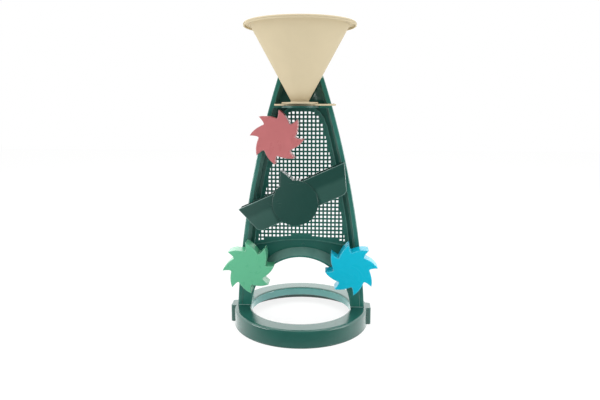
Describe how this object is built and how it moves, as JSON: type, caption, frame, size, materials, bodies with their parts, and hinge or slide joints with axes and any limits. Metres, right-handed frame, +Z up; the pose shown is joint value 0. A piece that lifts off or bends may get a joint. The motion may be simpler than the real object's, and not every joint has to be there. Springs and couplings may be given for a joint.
{
  "type": "sand and water mill",
  "caption": "Free-standing sand and water mill: a funnel with a shut-off slide over paddle wheels and a tipping bucket on a mesh-backed tower with a ring base.",
  "frame": {"origin": "on the floor, at the centre of the base ring", "axes": "+Z up, along the height; +X to the right seen from the front; +Y towards the back, away from the side with the wheels"},
  "size_m": [0.2073, 0.1863, 0.4],
  "materials": {
    "dark_green": "moulded polypropylene, dark bluish green, glossy",
    "cream": "moulded polypropylene, warm cream, satin",
    "pink": "moulded polypropylene, dusty pink, satin",
    "mint": "moulded polypropylene, mint green, satin",
    "blue": "moulded polypropylene, light blue, satin"
  },
  "bodies": {
    "stand": {"base_ring": "dark_green", "tower_frame": "dark_green", "mesh_panel": "dark_green", "slide_guide": "cream"},
    "hopper": {"funnel": "cream"},
    "slide": {"shut_off_slide": "cream"},
    "upper_wheel_set": {"upper_wheel": "pink", "upper_axle": "dark_green", "upper_axle_cap": "dark_green"},
    "bucket_set": {"tipping_bucket": "dark_green", "bucket_axle": "dark_green", "bucket_axle_cap": "dark_green"},
    "left_wheel_set": {"left_wheel": "mint", "left_axle": "dark_green", "left_axle_cap": "dark_green"},
    "right_wheel_set": {"right_wheel": "blue", "right_axle": "dark_green", "right_axle_cap": "dark_green"}
  },
  "joints": [
    {"name": "upper_wheel_spin", "type": "hinge", "parent": "stand", "child": "upper_wheel_set", "pos_m": [-0.029, -0.023, 0.259], "axis": [0, 1, 0], "continuous": true},
    {"name": "left_wheel_spin", "type": "hinge", "parent": "stand", "child": "left_wheel_set", "pos_m": [-0.06882, -0.023, 0.0845], "axis": [0, 1, 0], "continuous": true},
    {"name": "right_wheel_spin", "type": "hinge", "parent": "stand", "child": "right_wheel_set", "pos_m": [0.06882, -0.023, 0.0845], "axis": [0, 1, 0], "continuous": true},
    {"name": "bucket_tip", "type": "hinge", "parent": "stand", "child": "bucket_set", "pos_m": [-0.0055, -0.023, 0.174], "axis": [0, 1, 0], "range_deg": [0, 48.8]},
    {"name": "slide_pull", "type": "slide", "parent": "stand", "child": "slide", "axis": [1, 0, 0], "range_m": [0, 0.02]},
    {"name": "funnel_lift", "type": "slide", "parent": "stand", "child": "hopper", "axis": [0, 0, 1], "range_m": [0, 0.12]}
  ]
}
